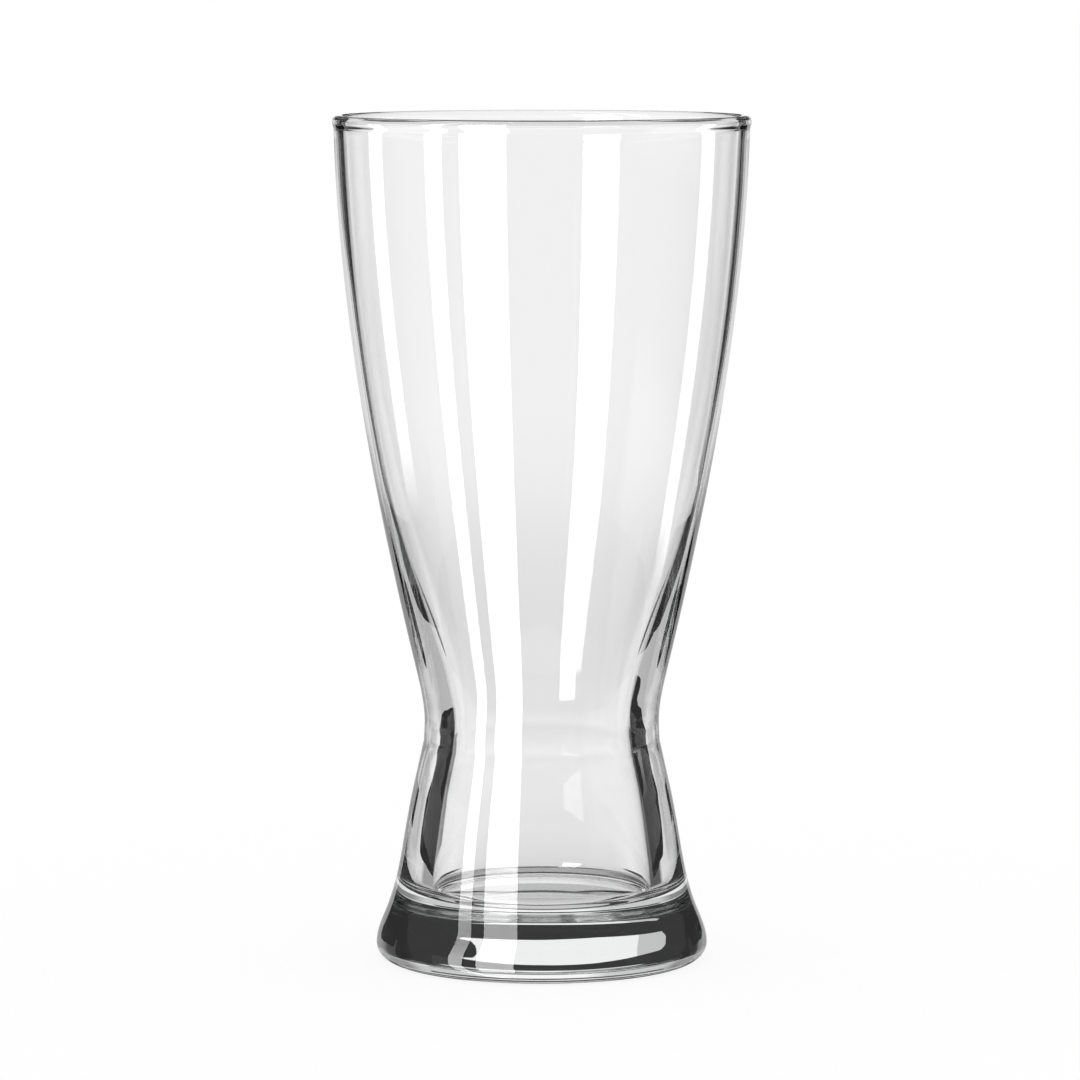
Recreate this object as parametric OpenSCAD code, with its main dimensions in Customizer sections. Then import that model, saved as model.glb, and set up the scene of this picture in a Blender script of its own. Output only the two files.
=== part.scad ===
// Hourglass pilsner glass: one piece of clear glass, divided into six zones that meet face to face.
// The glass stands on z = 0 and its axis is the Z axis. All lengths are in millimetres.
// The outer and the inner wall are curves of radius over height. Each curve runs through named
// stations, and at each station the wall leans from the vertical by a named angle.

/* [Overall] */
// Height of the glass
glass_h = 158; // [145:1:175]
// Diameter over the rim bead
rim_d = 77.8; // [70:0.2:86]
// Diameter of the foot at its widest
foot_d = 62.1; // [56:0.1:68]

/* [Rim] */
// Thickness of the rounded bead
bead_d = 2.4; // [2:0.1:3]
// How far the bead stands out from the wall below it
bead_proud = 0.3; // [0.1:0.05:0.5]
// Height of the plain wall between the bowl and the bead
rim_neck_h = 0.5; // [0.2:0.1:2]
// Thickness of the wall below the bead
rim_wall = 1.8; // [1.4:0.1:2.2]

/* [Bowl] */
// Height of the lower bowl, up to where the wall is thin, above the hip
bowl_rise = 33.5; // [28:0.5:40]
// Thickness of the wall at the top of the lower bowl
bowl_wall = 1.95; // [1.6:0.05:2.8]
// Diameter of the outer wall at the hip, above the waist
hip_d = 47.9; // [45.5:0.1:52]
// Height of the hip above the waist
hip_rise = 11.7; // [9:0.1:15]
// Height of the inner hip above the outer one
inner_hip_rise = 0.5; // [0:0.1:3]
// Thickness of the wall at the inner hip
hip_wall = 4.7; // [3.8:0.1:5.6]

/* [Waist] */
// Diameter of the waist
waist_d = 43.9; // [41:0.1:45]
// Height of the waist above the crease under it
waist_rise = 3.3; // [2:0.1:5]
// Height of the crease under the waist
crease_h = 1; // [0.6:0.1:2]
// How far the upper edge of the crease stands out from the waist
crease_top_swell = 0.13; // [0:0.01:0.2]
// How far the lower edge of the crease stands out from the waist
crease_swell = 0.33; // [0.25:0.01:0.6]
// Thickness of the wall in the neck above the waist
neck_wall = 5.1; // [4.2:0.1:6]
// Height of the neck above the waist
neck_rise = 6.2; // [4:0.1:8]
// Thickness of the wall at the narrowest part of the inside
waist_wall = 5.5; // [4.5:0.1:6.5]
// Height of the narrowest part of the inside below the waist
inner_waist_drop = 1.3; // [0:0.1:3]

/* [Lower chamber] */
// Height from the thigh to the crease
thigh_drop = 7; // [5:0.1:9]
// Diameter of the outer wall at the thigh
thigh_d = 47.7; // [45.5:0.1:50]
// Thickness of the wall under the thigh
thigh_wall = 6; // [5:0.1:7]
// Height of the inner thigh below the outer one
inner_thigh_drop = 3.5; // [2:0.1:5]
// Height from the belly to the thigh
thigh_rise = 12; // [9:0.1:15]
// Diameter of the outer wall at the belly
belly_d = 52.2; // [50:0.1:55]
// Diameter of the inside at the foot of the chamber
chamber_d = 41.2; // [38:0.1:43]

/* [Foot] */
// Thickness of the solid glass under the chamber's floor
floor_h = 11.6; // [8:0.1:13]
// Radius of the round between the floor and the chamber's wall
floor_fillet = 2.5; // [1.5:0.1:4]
// Height from the flare of the foot to the belly
belly_rise = 12; // [9:0.1:15]
// Diameter at the middle of the flare
flare_d = 58.3; // [56:0.1:60]
// Height of the middle of the flare above the widest ring
flare_rise = 6.3; // [4.5:0.1:8]
// Radius of the heel under the widest ring
heel_r = 3.2; // [2:0.1:4]
// Width of the flat ring that the glass stands on
bearing_w = 3; // [2:0.1:5]
// Depth of the hollow under the foot
punt_depth = 1; // [0.4:0.1:2]

/* [Hidden] */

// Angles by which the outer wall leans outwards as it rises, in degrees
flare_lean = -21.8;
belly_lean = -9.4;
thigh_lean = -12.8;
crease_lean = -12.2;
crease_top_lean = -1.5;
hip_lean = 13.4;
rim_lean = 1.7;

// Angles by which the inner wall leans outwards as it rises, in degrees
chamber_lean = -6.8;
inner_thigh_lean = -8.8;
neck_lean = 14.5;
inner_hip_lean = 18.5;
inner_bowl_lean = 12.2;
inner_rim_lean = 2.9;

// Heights of the stations above the table
flare_z = heel_r + flare_rise;
belly_z = flare_z + belly_rise;
thigh_z = belly_z + thigh_rise;
crease_z = thigh_z + thigh_drop;
crease_top_z = crease_z + crease_h;
waist_z = crease_top_z + waist_rise;
hip_z = waist_z + hip_rise;
rim_z = glass_h - bead_d - rim_neck_h;
inner_thigh_z = thigh_z - inner_thigh_drop;
inner_waist_z = waist_z - inner_waist_drop;
neck_z = waist_z + neck_rise;
inner_hip_z = hip_z + inner_hip_rise;
inner_bowl_z = hip_z + bowl_rise;

// The round at the chamber's floor touches the leaning wall at this height and radius
dish_z = floor_h + floor_fillet * (1 + sin(-chamber_lean));
dish_r = chamber_d / 2;

// Radii at the rim, the bead and the bearing ring
rim_r = rim_d / 2 - bead_proud;
bead_r = bead_d / 2;
bearing_r = foot_d / 2 - heel_r;
punt_r = bearing_r - bearing_w;

// The hollow under the foot is a shallow dome that meets the bearing ring's inner edge
punt_sphere_r = (punt_r ^ 2 + punt_depth ^ 2) / (2 * punt_depth);
punt_angle = asin(punt_r / punt_sphere_r);

// Steps of a curve between two stations, of a quarter round, and facets round the glass
curve_steps = 12;
round_steps = 10;
round_facets = 144;

// Each station is a height, a radius and a lean
outer_stations = [
  [heel_r, foot_d / 2, 0],
  [flare_z, flare_d / 2, flare_lean],
  [belly_z, belly_d / 2, belly_lean],
  [thigh_z, thigh_d / 2, thigh_lean],
  [crease_z, waist_d / 2 + crease_swell, crease_lean],
  [crease_top_z, waist_d / 2 + crease_top_swell, crease_top_lean],
  [waist_z, waist_d / 2, 0],
  [hip_z, hip_d / 2, hip_lean],
  [rim_z, rim_r, rim_lean]
];
inner_stations = [
  [dish_z, dish_r, chamber_lean],
  [inner_thigh_z, outer_r(inner_thigh_z) - thigh_wall, inner_thigh_lean],
  [inner_waist_z, outer_r(inner_waist_z) - waist_wall, 0],
  [neck_z, outer_r(neck_z) - neck_wall, neck_lean],
  [inner_hip_z, outer_r(inner_hip_z) - hip_wall, inner_hip_lean],
  [inner_bowl_z, outer_r(inner_bowl_z) - bowl_wall, inner_bowl_lean],
  [rim_z, rim_r - rim_wall, inner_rim_lean]
];

// Index of the span of stations that holds height z
function span(stations, z, i = 0) =
  i >= len(stations) - 2 || z <= stations[i + 1][0] ? i : span(stations, z, i + 1);

// Radius at height z on the cubic that leaves station a and reaches station b at their leans
function cubic_r(a, b, z) =
  let (h = b[0] - a[0], u = (z - a[0]) / h)
  (2 * u ^ 3 - 3 * u ^ 2 + 1) * a[1] + (u ^ 3 - 2 * u ^ 2 + u) * h * tan(a[2])
  + (3 * u ^ 2 - 2 * u ^ 3) * b[1] + (u ^ 3 - u ^ 2) * h * tan(b[2]);

function curve_r(stations, z) =
  let (i = span(stations, z)) cubic_r(stations[i], stations[i + 1], z);
function outer_r(z) = curve_r(outer_stations, z);
function inner_r(z) = curve_r(inner_stations, z);

// Heights of the stations between low and high, with both ends and the steps between them
function heights(stations, low, high) =
  let (knots = concat([low], [for (s = stations) if (s[0] > low && s[0] < high) s[0]], [high]))
  concat(
    [for (i = [0 : len(knots) - 2], k = [0 : curve_steps - 1])
      knots[i] + (knots[i + 1] - knots[i]) * k / curve_steps],
    [high]);

// Points [radius, height] up the outer wall and down the inner wall
function outer_wall(low, high) = [for (z = heights(outer_stations, low, high)) [outer_r(z), z]];
function inner_wall(low, high) =
  let (zs = heights(inner_stations, low, high))
  [for (i = [len(zs) - 1 : -1 : 0]) [inner_r(zs[i]), zs[i]]];

// Points on an arc about a centre, from one angle to another
function arc(centre, r, from, to) =
  [for (k = [0 : round_steps])
    let (a = from + (to - from) * k / round_steps) centre + r * [cos(a), sin(a)]];

function without_first(points) = [for (i = [1 : len(points) - 1]) points[i]];

// A ring of wall between two heights
module wall_zone(low, high) {
  rotate_extrude($fn = round_facets)
    polygon(concat(outer_wall(low, high), inner_wall(low, high)));
}

module rim_bead() {
  color("azure")
    rotate_extrude($fn = round_facets) {
      translate([rim_d / 2 - bead_r, glass_h - bead_r])
        circle(bead_r, $fn = round_facets);
      translate([rim_r - rim_wall, rim_z])
        square([rim_wall, rim_neck_h + bead_r]);
    }
}

module upper_bowl() {
  color("lightcyan")
    wall_zone(inner_bowl_z, rim_z);
}

module lower_bowl() {
  color("paleturquoise")
    wall_zone(hip_z, inner_bowl_z);
}

module waist() {
  color("skyblue")
    wall_zone(thigh_z, hip_z);
}

module chamber_wall() {
  color("powderblue")
    wall_zone(dish_z, thigh_z);
}

module foot() {
  fillet_centre = [dish_r - floor_fillet * cos(chamber_lean), floor_h + floor_fillet];
  outline = concat(
    arc([0, punt_depth - punt_sphere_r], punt_sphere_r, 90, 90 - punt_angle),
    arc([bearing_r, heel_r], heel_r, -90, 0),
    without_first(outer_wall(heel_r, dish_z)),
    arc(fillet_centre, floor_fillet, -chamber_lean, -90),
    [[0, floor_h]]);
  color("lightblue")
    rotate_extrude($fn = round_facets)
      polygon(outline);
}

rim_bead();
upper_bowl();
lower_bowl();
waist();
chamber_wall();
foot();
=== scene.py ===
import math

import bpy
import numpy as np
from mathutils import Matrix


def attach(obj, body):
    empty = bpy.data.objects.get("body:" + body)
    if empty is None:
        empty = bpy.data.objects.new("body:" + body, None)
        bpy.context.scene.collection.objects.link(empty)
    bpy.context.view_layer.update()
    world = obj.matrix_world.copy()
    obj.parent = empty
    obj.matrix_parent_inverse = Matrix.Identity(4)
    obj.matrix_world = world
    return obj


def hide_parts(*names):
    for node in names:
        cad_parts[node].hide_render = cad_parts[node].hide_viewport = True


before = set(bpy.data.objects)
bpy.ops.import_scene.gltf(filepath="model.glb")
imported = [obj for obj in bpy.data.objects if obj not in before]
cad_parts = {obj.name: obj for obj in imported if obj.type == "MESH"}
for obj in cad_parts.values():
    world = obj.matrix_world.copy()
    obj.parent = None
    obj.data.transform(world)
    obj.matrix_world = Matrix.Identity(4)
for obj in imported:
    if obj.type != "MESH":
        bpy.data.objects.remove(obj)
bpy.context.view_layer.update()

# The glass is one closed surface turned round the Z axis. All lengths are in millimetres, as in the
# part's source, and become metres when the mesh is made. Each station of a wall is a height, a
# radius, and the angle in degrees by which the wall leans outwards there.
MM = 0.001
GLASS_H = 158.0
OUTER_WALL = np.array([
    [3.2, 31.05, 0.0],      # widest ring of the foot
    [9.5, 29.15, -21.8],    # middle of the flare
    [21.5, 26.1, -9.4],     # belly
    [33.5, 23.85, -12.8],   # thigh
    [40.5, 22.28, -12.2],   # crease, lower edge
    [41.5, 22.08, -1.5],    # crease, upper edge
    [44.8, 21.95, 0.0],     # waist
    [56.5, 23.95, 13.4],    # hip
    [155.1, 38.6, 1.7],     # under the bead
])
INNER_WALL = np.array([
    [14.396, 20.6, -6.8],   # where the round of the floor ends
    [30.0, 18.59, -8.8],    # thigh
    [43.5, 16.49, 0.0],     # narrowest part
    [51.0, 17.57, 14.5],    # neck
    [57.0, 19.37, 18.5],    # hip
    [90.0, 29.18, 12.2],    # lower bowl
    [155.1, 36.8, 2.9],     # under the bead
])
BEAD_R = 1.2
BEAD_CENTRE = (37.7, GLASS_H - BEAD_R)
BEAD_BLEND_H = 1.4          # height over which the wall swells into the bead
HEEL_R = 3.2
BEARING_R = 27.85           # outer edge of the flat ring that the glass stands on
PUNT_R = 24.85              # its inner edge, where the hollow under the foot begins
PUNT_DEPTH = 1.0
FLOOR_H = 11.6
FLOOR_FILLET_R = 2.5

# How finely the surface is drawn: steps round the glass, and points along each stretch of its half
# section. Above BOWL_Z both walls share their heights.
ROUND_STEPS = 256
BOWL_Z = 60.0
PUNT_POINTS = 10
HEEL_POINTS = 16
OUTER_POINTS = 92
INNER_POINTS = 80
BOWL_POINTS = 48
BLEND_POINTS = 14
BEAD_POINTS = 28
FILLET_POINTS = 14
FLOOR_POINTS = 8

# The photograph's camera: where it stands, how far it looks down, and its lens, on a square frame.
CAMERA_PLACE = (-0.00033, -1.03257, 0.18486)
CAMERA_PITCH = 5.863
CAMERA_LENS = 185.27
SENSOR = 36.0


def wall_radius(stations, height):
    """Radius of a wall at the given heights.

    Between two stations it is the cubic in height through both radii, with the two leans:
    r = (2u^3 - 3u^2 + 1) ra + (u^3 - 2u^2 + u) h ta + (3u^2 - 2u^3) rb + (u^3 - u^2) h tb,
    where u runs from 0 to 1 over the span, h is its height and t is the tangent of the lean.
    """
    place, radius = stations[:, 0], stations[:, 1]
    slope = np.tan(np.radians(stations[:, 2]))
    i = np.clip(np.searchsorted(place, height, side="right") - 1, 0, len(place) - 2)
    h = place[i + 1] - place[i]
    u = (height - place[i]) / h
    return (
        (2 * u**3 - 3 * u**2 + 1) * radius[i]
        + (u**3 - 2 * u**2 + u) * h * slope[i]
        + (3 * u**2 - 2 * u**3) * radius[i + 1]
        + (u**3 - u**2) * h * slope[i + 1]
    )


def arc(centre, radius, start, end, count):
    """Points on a circle: centre + radius (cos a, sin a), with a from start to end in degrees."""
    angle = np.radians(np.linspace(start, end, count))
    return np.stack([centre[0] + radius * np.cos(angle), centre[1] + radius * np.sin(angle)], 1)


def swollen_wall(stations, height, bead_edge):
    """A wall with its smooth swelling into the rim bead, as [radius, height].

    Above its last station the wall runs on straight at that station's lean. To its radius this adds
    s (bead edge - radius), where s = 3t^2 - 2t^3 and t rises from 0 to 1 over the blend below the
    bead's middle.
    """
    top, _, lean = stations[-1]
    over = np.maximum(height - top, 0) * math.tan(math.radians(lean))
    radius = wall_radius(stations, np.minimum(height, top)) + over
    t = np.clip((height - (BEAD_CENTRE[1] - BEAD_BLEND_H)) / BEAD_BLEND_H, 0, 1)
    return np.stack([radius + (3 * t**2 - 2 * t**3) * (bead_edge - radius), height], 1)


def glass_profile():
    """Half section of the glass, as [radius, height] from the axis underneath, up the outside and
    down the inside to the axis on the chamber's floor."""
    punt_sphere_r = (PUNT_R**2 + PUNT_DEPTH**2) / (2 * PUNT_DEPTH)
    punt_angle = math.degrees(math.asin(PUNT_R / punt_sphere_r))
    dish_z, dish_r, floor_lean = INNER_WALL[0]
    fillet_x = dish_r - FLOOR_FILLET_R * math.cos(math.radians(floor_lean))
    fillet_z = FLOOR_H + FLOOR_FILLET_R
    blend_z = BEAD_CENTRE[1] - BEAD_BLEND_H
    bowl = np.concatenate([
        np.linspace(BOWL_Z, blend_z, BOWL_POINTS),
        np.linspace(blend_z, BEAD_CENTRE[1], BLEND_POINTS)[1:],
    ])
    up = np.concatenate([np.linspace(HEEL_R, BOWL_Z, OUTER_POINTS)[1:-1], bowl])
    down = np.concatenate([np.linspace(dish_z, BOWL_Z, INNER_POINTS)[:-1], bowl])[::-1]
    floor_x = np.linspace(fillet_x, 0, FLOOR_POINTS)[1:]
    return np.concatenate([
        arc((0, PUNT_DEPTH - punt_sphere_r), punt_sphere_r, 90, 90 - punt_angle, PUNT_POINTS),
        arc((BEARING_R, HEEL_R), HEEL_R, -90, 0, HEEL_POINTS),
        swollen_wall(OUTER_WALL, up, BEAD_CENTRE[0] + BEAD_R),
        arc(BEAD_CENTRE, BEAD_R, 0, 180, BEAD_POINTS)[1:-1],
        swollen_wall(INNER_WALL, down, BEAD_CENTRE[0] - BEAD_R),
        arc((fillet_x, fillet_z), FLOOR_FILLET_R, -floor_lean, -90, FILLET_POINTS)[1:],
        np.stack([floor_x, np.full_like(floor_x, FLOOR_H)], 1),
    ])


def turned_mesh(name, profile, count):
    """A closed mesh of the profile turned round Z: x = r cos a, y = r sin a, z = height.

    The profile's first and last points lie on the axis and become one vertex each, and triangles
    close the surface round them.
    """
    ring = profile[1:-1]
    m = len(ring)
    angle = np.arange(count) * 2 * np.pi / count
    grid = np.stack([
        np.outer(np.cos(angle), ring[:, 0]),
        np.outer(np.sin(angle), ring[:, 0]),
        np.tile(ring[:, 1], (count, 1)),
    ], 2).reshape(-1, 3)
    poles = np.array([[0, 0, profile[0, 1]], [0, 0, profile[-1, 1]]])
    points = np.concatenate([grid, poles]) * MM
    i, j = np.arange(count)[:, None], np.arange(m - 1)[None, :]
    k = (i + 1) % count
    quads = np.stack([i * m + j, k * m + j, k * m + j + 1, i * m + j + 1], 2).reshape(-1, 4)
    i, k = i[:, 0], k[:, 0]
    under = np.stack([np.full(count, count * m), k * m, i * m], 1)
    floor = np.stack([np.full(count, count * m + 1), i * m + m - 1, k * m + m - 1], 1)
    corners = np.concatenate([quads.ravel(), under.ravel(), floor.ravel()])
    sizes = np.concatenate([np.full(len(quads), 4), np.full(2 * count, 3)])
    mesh = bpy.data.meshes.new(name)
    mesh.vertices.add(len(points))
    mesh.vertices.foreach_set("co", points.ravel())
    mesh.loops.add(len(corners))
    mesh.loops.foreach_set("vertex_index", corners)
    mesh.polygons.add(len(sizes))
    mesh.polygons.foreach_set("loop_start", np.concatenate([[0], np.cumsum(sizes)[:-1]]))
    mesh.polygons.foreach_set("use_smooth", np.ones(len(sizes), bool))
    mesh.update(calc_edges=True)
    mesh.validate()
    return mesh


def linear(colour):
    """An sRGB hex colour as linear red, green, blue and 1."""
    parts = [int(colour[i:i + 2], 16) / 255 for i in (1, 3, 5)]
    return tuple(p / 12.92 if p <= 0.04045 else ((p + 0.055) / 1.055) ** 2.4 for p in parts) + (1,)


def add_node(tree, kind, settings=None, inputs=None):
    """Adds a node, sets its properties, and fills each input with a value or a link.

    A link is given as a socket, or as a node when it comes from the node's result.
    """
    node = tree.nodes.new(kind)
    for name, value in (settings or {}).items():
        setattr(node, name, value)
    for key, value in (inputs or {}).items():
        if isinstance(value, bpy.types.Node):
            value = value.outputs[0]
        if isinstance(value, bpy.types.NodeSocket):
            tree.links.new(value, node.inputs[key])
        else:
            node.inputs[key].default_value = value
    return node


def empty_tree(block):
    """The node tree of a new material or world, with nothing in it."""
    block.use_nodes = True
    block.node_tree.nodes.clear()
    return block.node_tree


WHITE = linear("#FFFFFF")


def soda_lime_glass():
    """Soda-lime glass, blown in a mould, then fire-polished.

    Fire polishing leaves a mirror-smooth surface over very faint flow waves, so it shows sharp
    reflections that waver a little. The ring that it stands on is scuffed by tables, so it is a
    little frosted there. The glass is clear, with a trace of green where it is thick.
    """
    wave_width, wave_depth, wave_bump = 14 * MM, 0.02 * MM, 0.2
    scuff_width, scuff_height, scuff_roughness = 0.8 * MM, 0.2 * MM, 0.35
    scuff_start, scuff_full = 0.48, 0.6     # of the grit's noise, so scuffs are in patches
    index = 1.52
    tint_colour, tint_density = linear("#F2F8F5"), 4.0

    material = bpy.data.materials.new("soda_lime_glass_fire_polished")
    tree = empty_tree(material)
    place = add_node(tree, "ShaderNodeTexCoord").outputs["Object"]
    waves = add_node(tree, "ShaderNodeTexNoise", {"noise_dimensions": "3D"},
                     {"Vector": place, "Scale": 1 / wave_width, "Detail": 1.0, "Roughness": 0.4})
    bump = add_node(tree, "ShaderNodeBump", {}, {
        "Height": waves.outputs["Fac"], "Strength": wave_bump, "Distance": wave_depth})

    # The bearing ring is the only part of the surface that touches the table.
    height = add_node(tree, "ShaderNodeSeparateXYZ", {}, {0: place}).outputs["Z"]
    touching = add_node(tree, "ShaderNodeMath", {"operation": "COMPARE"},
                        {0: height, 1: 0.0, 2: scuff_height})
    grit = add_node(tree, "ShaderNodeTexNoise", {"noise_dimensions": "3D"},
                    {"Vector": place, "Scale": 1 / scuff_width, "Detail": 3.0})
    scuffs = add_node(tree, "ShaderNodeMapRange", {}, {
        "Value": grit.outputs["Fac"], "From Min": scuff_start, "From Max": scuff_full,
        "To Min": 0.0, "To Max": scuff_roughness})
    roughness = add_node(tree, "ShaderNodeMath", {"operation": "MULTIPLY"},
                         {0: touching, 1: scuffs})

    body = add_node(tree, "ShaderNodeBsdfPrincipled", {}, {
        "Base Color": WHITE,
        "Roughness": roughness,
        "IOR": index,
        "Transmission Weight": 1.0,
        "Normal": bump.outputs["Normal"],
    })
    tint = add_node(tree, "ShaderNodeVolumeAbsorption", {},
                    {"Color": tint_colour, "Density": tint_density})
    add_node(tree, "ShaderNodeOutputMaterial", {}, {"Surface": body, "Volume": tint})
    return material


# The glass.
glass = bpy.data.objects.new("glass_body", turned_mesh("glass_body", glass_profile(), ROUND_STEPS))
bpy.context.scene.collection.objects.link(glass)
glass.data.materials.append(soda_lime_glass())
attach(glass, "root")
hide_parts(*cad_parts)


def sine(degrees):
    """Height of a ray's unit direction at this many degrees above the horizon."""
    return math.sin(math.radians(degrees))


# The studio. A white backdrop and a white table are behind the glass, cards at its sides and behind
# it draw its edges, and tall soft boxes leave long highlights. The backdrop, the room and the soft
# boxes are far off, so a ray finds them by its direction alone. A direction has a height, in
# degrees above the horizon, and a turn, in degrees from straight behind the glass towards +X; its
# side is the turn without its sign. A ray also counts the surfaces that it crossed, the times that
# it was mirrored, and the times that a matt surface scattered it.
MANY = 40                   # more than a ray ever counts
DARK = 0.04                 # what the unlit parts of the studio give
TABLE = 0.55                # the table, to the sides
TABLE_UNDER = 0.6           # the table, under the glass
NEAR_BACKDROP = 0.97        # the backdrop, through one wall
CEILING = (0.5, 0.85)       # the ceiling, through one wall and through both
KEY_LIGHT = 10.0
KEY_LIGHT_LOW = 3.0         # its lower end, deep in the foot
SIDE_LIGHT = 8.0
EDGE_LIGHT = 4.0

# The backdrop fades downwards: the two heights and the levels there.
BACKDROP = (-18, -4, 0.81, 1.03)

# Levels and shares that change with direction: what they follow, from where to where, and their
# value at each.
RAMPS = {
    "off_middle": ("side", 10, 18, 0.0, 1.0),
    "near_side": ("side", 10, 16, 1.0, 0.65),
    "near_edge": ("side", 36, 44, 0.0, 0.55),
    "fading": ("side", 3, 7, 0.0, 0.35),
    "brightening": ("side", 20, 26, 0.0, 5 / 7),
    "not_low": ("height", -14, -11, 0.0, 1.0),
    "flank": ("turn", -1, 1, 0.38, 0.12),
    "beside": ("side", 38, 44, 0.0, 1.0),
    "wide": ("side", 16, 32, 0.0, 1.0),
    "down": ("height", -15, -19, 0.0, 1.0),
    "up": ("height", 5.5, 6.5, 0.0, 1.0),
    "up_from_foot": ("height", 1, 2, 0.0, 1.0),
    "above": ("height", 48, 54, 0.0, 1.0),
    "shadow_edge": ("side", 16, 32, sine(-20), sine(-34)),      # this one is a height
    "chamber_glow": ("side", 75, 115, 0.13, 0.42),
    "key_above": ("height", 0, 3, 0.0, 1.0),
    "dimming": ("height", 14, 26, 0.0, 0.25),
}

# Places and kinds of ray: all of the ranges hold there.
WHERE = {
    "scattered": [("scattered", 1, MANY)],
    "mirrored": [("mirrored", 1, MANY)],
    "mirrored_once": [("mirrored", 0, 1)],
    "crossed": [("crossed", 1, MANY)],
    "through_both": [("crossed", 4, MANY)],
    # Shades that are seen through both walls: two low ones, one beside the glass, and one under it.
    "low_shades": [("side", 12, 25), ("height", -38, -21)],
    "side_shade": [("turn", -59, -33), ("height", -9, 1)],
    "under_shade": [("side", 0, 60), ("height", -90, -46)],
    # Parts of the room.
    "level": [("height", -10.5, 10.5)],
    "foot_side": [("side", 28, 180), ("crossed", 1, MANY)],
    "front": [("side", 120, 180), ("height", -90, 48)],
    "straight_down": [("height", -90, -50)],
    "chamber": [("side", 45, 180), ("height", -90, -33), ("crossed", 4, MANY)],
    # The soft boxes. The key box has three rows: as the outer wall mirrors it, as the surfaces
    # behind that mirror it, and its lower end, deep in the foot.
    "key_box": [("turn", -160.5, -133.5), ("height", -36, 40)],
    "key_box_inside": [("turn", -155, -133), ("height", -90, 48)],
    "key_box_deep": [("turn", -155, -133), ("height", -30.45, -27.57), ("crossed", 6, MANY)],
    "side_box": [("turn", -123, -112)],
    "edge_boxes": [("side", 69, 81), ("height", -23.45, 6.87)],
}
EDGE_MARGIN = 0.0005        # keeps the ends of a range inside it

# How the studio is put together, row by row: the result, where, and the levels elsewhere and there.
LAYERS = [
    # Seen through both walls: the backdrop and its shades. Through one, it is greyer at its sides.
    ("far", "off_middle", "backdrop", 1.0),
    ("far", "low_shades", "far", DARK),
    ("far", "side_shade", "far", DARK),
    ("far", "under_shade", "far", DARK),
    ("near_level", "near_edge", "near_side", 0.0),
    ("near", "level", NEAR_BACKDROP, "near_level"),
    ("through", "through_both", "near", "far"),
    # Mirrored: the backdrop fades from its middle and comes back, and the flanks are beyond it.
    ("faded", "fading", "backdrop", 0.0),
    ("faded", "brightening", "faded", "backdrop"),
    ("ahead", "not_low", "backdrop", "faded"),
    ("wall", "beside", "ahead", "flank"),
    # Under it the table, dark near the glass, and over it a dark room with a pale ceiling.
    ("table", "wide", "backdrop", TABLE),
    ("low", "down", "wall", "table"),
    ("ceiling", "through_both", *CEILING),
    ("overhead", "above", DARK, "ceiling"),
    ("overhead", "crossed", DARK, "overhead"),
    ("room", "up", "low", "overhead"),
    ("room_from_foot", "up_from_foot", "room", "overhead"),
    ("room", "foot_side", "room", "room_from_foot"),
    ("room", "front", "room", DARK),
    ("room", "near_glass", "room", DARK),
    ("room", "straight_down", "room", TABLE_UNDER),
    ("room", "chamber", "room", "chamber_glow"),
    # The soft boxes, dimmer towards their tops.
    ("outer_boxes", "key_box", 0.0, KEY_LIGHT),
    ("outer_boxes", "side_box", "outer_boxes", SIDE_LIGHT),
    ("outer_boxes", "edge_boxes", "outer_boxes", EDGE_LIGHT),
    ("outer_boxes", "dimming", "outer_boxes", 0.0),
    ("key_inside", "key_above", 0.0, KEY_LIGHT),
    ("inner_boxes", "key_box_inside", 0.0, "key_inside"),
    ("inner_boxes", "key_box_deep", "inner_boxes", KEY_LIGHT_LOW),
    ("boxes", "crossed", "outer_boxes", "inner_boxes"),
]


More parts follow.
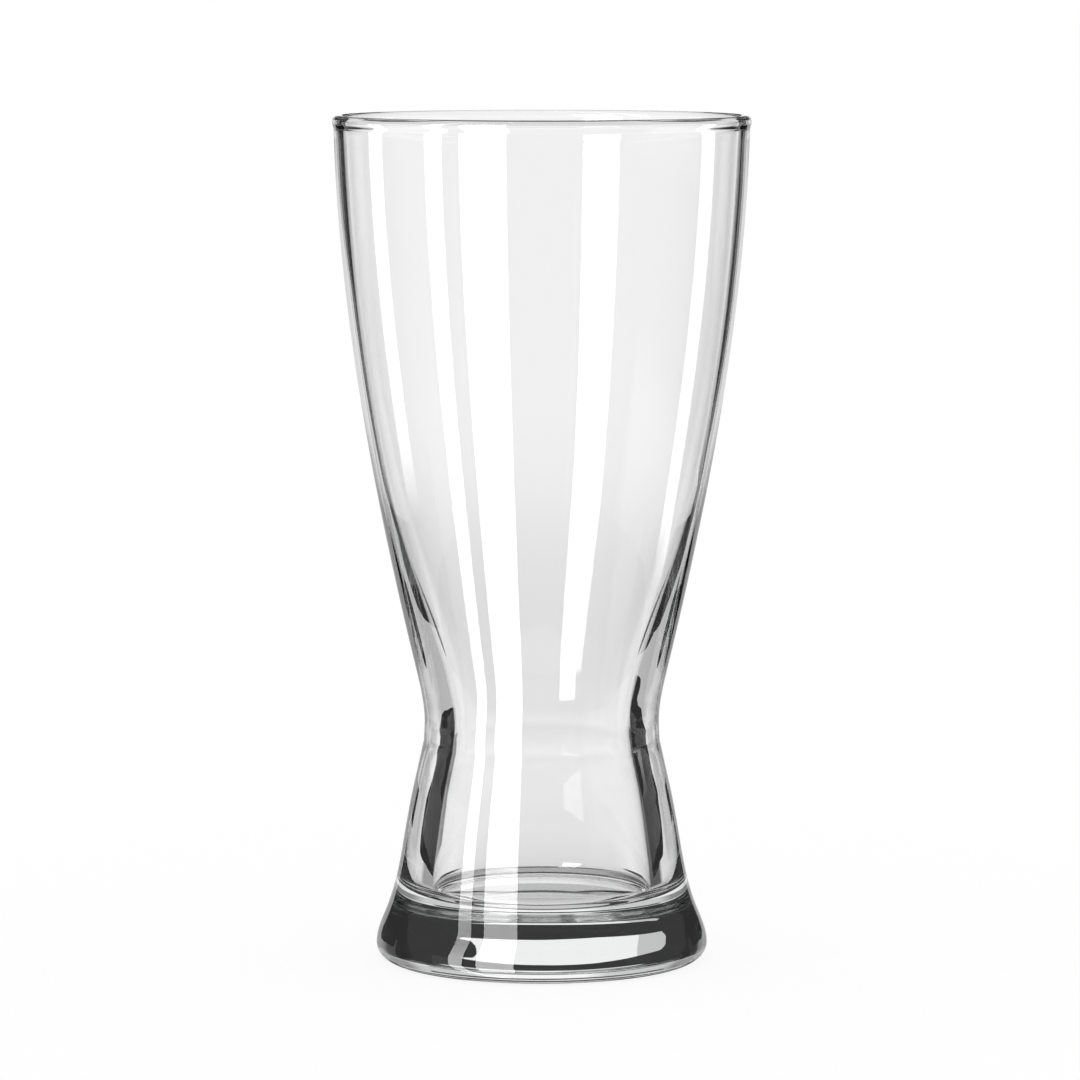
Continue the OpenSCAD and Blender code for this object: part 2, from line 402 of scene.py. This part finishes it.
def studio_world():
    """The world as rays from the glass see it, by their direction and by how they came.

    Rays that only passed through the glass find the backdrop. Rays that it mirrored find the room,
    and the soft boxes too if they were mirrored once. The camera and the table find plain white.
    """
    world = bpy.data.worlds.new("studio")
    world.cycles.sampling_method = "NONE"
    tree = empty_tree(world)

    place = add_node(tree, "ShaderNodeTexCoord")
    ray = add_node(tree, "ShaderNodeSeparateXYZ", {}, {0: place.outputs["Generated"]})
    height = ray.outputs["Z"]
    turn = add_node(tree, "ShaderNodeMath", {"operation": "ARCTAN2"},
                    {0: ray.outputs["X"], 1: ray.outputs["Y"]})
    side = add_node(tree, "ShaderNodeMath", {"operation": "ABSOLUTE"}, {0: turn})
    path = add_node(tree, "ShaderNodeLightPath")
    measured = {
        "height": (height, sine),
        "turn": (turn, math.radians),
        "side": (side, math.radians),
        "crossed": (path.outputs["Transmission Depth"], float),
        "mirrored": (path.outputs["Glossy Depth"], float),
        "scattered": (path.outputs["Diffuse Depth"], float),
    }

    start, end, least, most = BACKDROP
    part = {"backdrop": add_node(tree, "ShaderNodeMapRange", {"interpolation_type": "SMOOTHSTEP"}, {
        "Value": height, "From Min": sine(start), "From Max": sine(end),
        "To Min": least, "To Max": most})}
    for name, (what, start, end, least, most) in RAMPS.items():
        value, unit = measured[what]
        part[name] = add_node(tree, "ShaderNodeMapRange", {}, {
            "Value": value, "From Min": unit(start), "From Max": unit(end),
            "To Min": least, "To Max": most})
    for name, ranges in WHERE.items():
        inside = 1.0
        for what, least, most in ranges:
            value, unit = measured[what]
            middle, half = (unit(most) + unit(least)) / 2, (unit(most) - unit(least)) / 2
            within = add_node(tree, "ShaderNodeMath", {"operation": "COMPARE"},
                              {0: value, 1: middle, 2: half + EDGE_MARGIN})
            inside = add_node(tree, "ShaderNodeMath", {"operation": "MULTIPLY"},
                              {0: within, 1: inside})
        part[name] = inside
    part["near_glass"] = add_node(tree, "ShaderNodeMath", {"operation": "LESS_THAN"},
                                  {0: height, 1: part["shadow_edge"]})
    for name, where, *levels in LAYERS:
        elsewhere, there = (part.get(level, level) for level in levels)
        part[name] = add_node(tree, "ShaderNodeMix", {},
                              {"Factor": part[where], "A": elsewhere, "B": there})

    lit_room = add_node(tree, "ShaderNodeMath", {"operation": "MULTIPLY_ADD"},
                        {0: part["boxes"], 1: part["mirrored_once"], 2: part["room"]})
    seen = add_node(tree, "ShaderNodeMix", {},
                    {"Factor": part["mirrored"], "A": part["through"], "B": lit_room})
    plain = add_node(tree, "ShaderNodeMath", {"operation": "MAXIMUM"},
                     {0: path.outputs["Is Camera Ray"], 1: part["scattered"]})
    strength = add_node(tree, "ShaderNodeMix", {}, {"Factor": plain, "A": seen, "B": 1.0})
    light = add_node(tree, "ShaderNodeBackground", {}, {"Color": WHITE, "Strength": strength})
    add_node(tree, "ShaderNodeOutputWorld", {}, {"Surface": light})
    return world


def stage_piece(name, corners, material):
    """A flat upright or level piece of the studio, from its corners in millimetres."""
    mesh = bpy.data.meshes.new(name)
    mesh.from_pydata((np.array(corners, float) * MM).tolist(), [], [tuple(range(len(corners)))])
    mesh.materials.append(material)
    piece = bpy.data.objects.new(name, mesh)
    bpy.context.scene.collection.objects.link(piece)
    piece.visible_shadow = False
    return piece


def card_stock(name, strength, bounces, crossings, fade=None):
    """Card of one brightness that only some rays find.

    Each of their two counts lies between two numbers: how often they were mirrored, and how many
    surfaces they crossed. Between the two heights of fade, the card thins out to nothing.
    """
    material = bpy.data.materials.new(name)
    tree = empty_tree(material)
    path = add_node(tree, "ShaderNodeLightPath")
    found = 1.0
    for depth, (least, most) in (("Glossy Depth", bounces), ("Transmission Depth", crossings)):
        counted = add_node(tree, "ShaderNodeMath", {"operation": "COMPARE"}, {
            0: path.outputs[depth], 1: (least + most) / 2, 2: (most - least) / 2 + EDGE_MARGIN})
        found = add_node(tree, "ShaderNodeMath", {"operation": "MULTIPLY"}, {0: counted, 1: found})
    if fade:
        place = add_node(tree, "ShaderNodeTexCoord").outputs["Object"]
        height = add_node(tree, "ShaderNodeSeparateXYZ", {}, {0: place}).outputs["Z"]
        solid = add_node(tree, "ShaderNodeMapRange", {}, {
            "Value": height, "From Min": fade[0] * MM, "From Max": fade[1] * MM,
            "To Min": 1.0, "To Max": 0.0})
        found = add_node(tree, "ShaderNodeMath", {"operation": "MULTIPLY"}, {0: found, 1: solid})
    glow = add_node(tree, "ShaderNodeEmission", {}, {"Color": WHITE, "Strength": strength})
    clear = add_node(tree, "ShaderNodeBsdfTransparent")
    mixed = add_node(tree, "ShaderNodeMixShader", {}, {0: found, 1: clear, 2: glow})
    add_node(tree, "ShaderNodeOutputMaterial", {}, {"Surface": mixed})
    return material


def white_table():
    """White table top. Most of its white is its own, so the shadow under the glass stays faint."""
    painted_share = 0.15
    material = bpy.data.materials.new("white_table")
    tree = empty_tree(material)
    glow = add_node(tree, "ShaderNodeEmission", {}, {"Color": WHITE, "Strength": 1.0})
    paint = add_node(tree, "ShaderNodeBsdfDiffuse", {}, {"Color": WHITE})
    mixed = add_node(tree, "ShaderNodeMixShader", {}, {0: painted_share, 1: glow, 2: paint})
    add_node(tree, "ShaderNodeOutputMaterial", {}, {"Surface": mixed})
    return material


# Card stocks: how bright the card is, how often the rays that find it were mirrored, how many
# surfaces they crossed, and for a card that thins out upwards, the heights where that starts and
# ends, in millimetres.
STOCKS = {
    "edge_card": (0.025, (1, MANY), (0, MANY)),
    "rim_card": (0.9, (1, MANY), (2, MANY)),
    "foot_card": (DARK, (0, MANY), (2, 3)),
    "lit_card": (0.95, (1, MANY), (2, 3)),
    "dim_card": (0.6, (1, MANY), (2, 3)),
    "low_card_left": (DARK, (1, 1), (0, 0), (57, 78)),
    "low_card_right": (DARK, (1, 1), (0, 0), (41, 56)),
}
RIM_OUTLINE = ((-60, 165), (70, 165), (70, 250), (-60, 250))
LOW_OUTLINE = ((-35, -40), (32, -40), (32, 80), (-35, 80))
# The cards: name, stock, plane, and outline on it, in millimetres. A card at the side stands on a
# plane of X, with its outline as [y, z], and one behind the foot on a plane of Y, as [x, z].
CARDS = [
    # Dark cards, tall behind the glass and low beside it. They draw the black lines along the bowl
    # and the bands down the waist and the chamber.
    ("edge_card_left", "edge_card", "X", -101, (
        (36, 1), (70, 0), (95, -3), (125, -6), (142, -3), (147, 4), (136, 14), (120, 24), (123, 34),
        (122, 60), (119, 70), (117, 98), (124, 115), (165, 132), (165, 600), (70, 600), (72, 90),
        (78, 62), (84, 42), (36, 42))),
    ("edge_card_right", "edge_card", "X", 95.5, (
        (41, -1), (65, -1), (78, 0), (104, -3), (141, -1), (165, 4), (162, 10), (148, 20),
        (143, 34), (122, 54), (113, 72), (135, 105), (135, 600), (66, 600), (70, 90), (76, 66),
        (92, 58), (100, 42), (41, 42))),
    # Pale cards, higher than the glass, that only the rim finds.
    ("rim_card_left", "rim_card", "X", -101, RIM_OUTLINE),
    ("rim_card_right", "rim_card", "X", 95, RIM_OUTLINE),
    # Behind the foot: a dark card for its lower part, and the white card and its grey end that make
    # its long bright window.
    ("foot_card", "foot_card", "Y", 70, (
        (-26, 7.6), (20, 7.6), (20, 16.2), (0, 16.2), (-5, 15.2), (-12, 15.6), (-20, 16),
        (-26, 16))),
    ("lit_card", "lit_card", "Y", 70, (
        (-12.2, 15.6), (-5, 15.2), (0, 16.2), (8.6, 16.2), (9.2, 16.8), (7.3, 17.9), (6.7, 20),
        (6.4, 24), (-12.2, 24))),
    ("dim_card", "dim_card", "Y", 70, (
        (-22.5, 18), (-20, 16), (-12.2, 15.6), (-12.2, 24), (-22.5, 24))),
    # Dark cards beside the glass that keep the edge boxes' reflections off the waist and below.
    ("low_card_left", "low_card_left", "X", -101.5, LOW_OUTLINE),
    ("low_card_right", "low_card_right", "X", 96, LOW_OUTLINE),
]
TABLE_HALF = 20000          # half the width of the table top
RAY_BOUNCES = 32            # enough for rays that go round in the solid foot
GLASS_BOUNCES = 24

scene = bpy.context.scene
scene.world = studio_world()
scene.view_settings.view_transform = "Standard"
scene.cycles.max_bounces = RAY_BOUNCES
scene.cycles.glossy_bounces = GLASS_BOUNCES
scene.cycles.transmission_bounces = GLASS_BOUNCES
floor = stage_piece("floor", [(x * TABLE_HALF, y * TABLE_HALF, 0) for x, y in (
    (-1, -1), (1, -1), (1, 1), (-1, 1))], white_table())
floor.visible_glossy = floor.visible_transmission = False

stock = {name: card_stock(name, *finish) for name, finish in STOCKS.items()}
for name, kind, axis, plane, outline in CARDS:
    corners = [(plane, a, z) if axis == "X" else (a, plane, z) for a, z in outline]
    card = stage_piece(name, corners, stock[kind])
    card.visible_camera = card.visible_diffuse = False

camera_data = bpy.data.cameras.new("camera")
camera_data.sensor_width = SENSOR
camera_data.lens = CAMERA_LENS
camera = bpy.data.objects.new("camera", camera_data)
scene.collection.objects.link(camera)
camera.location = CAMERA_PLACE
camera.rotation_euler = (math.radians(90 - CAMERA_PITCH), 0, 0)
scene.camera = camera
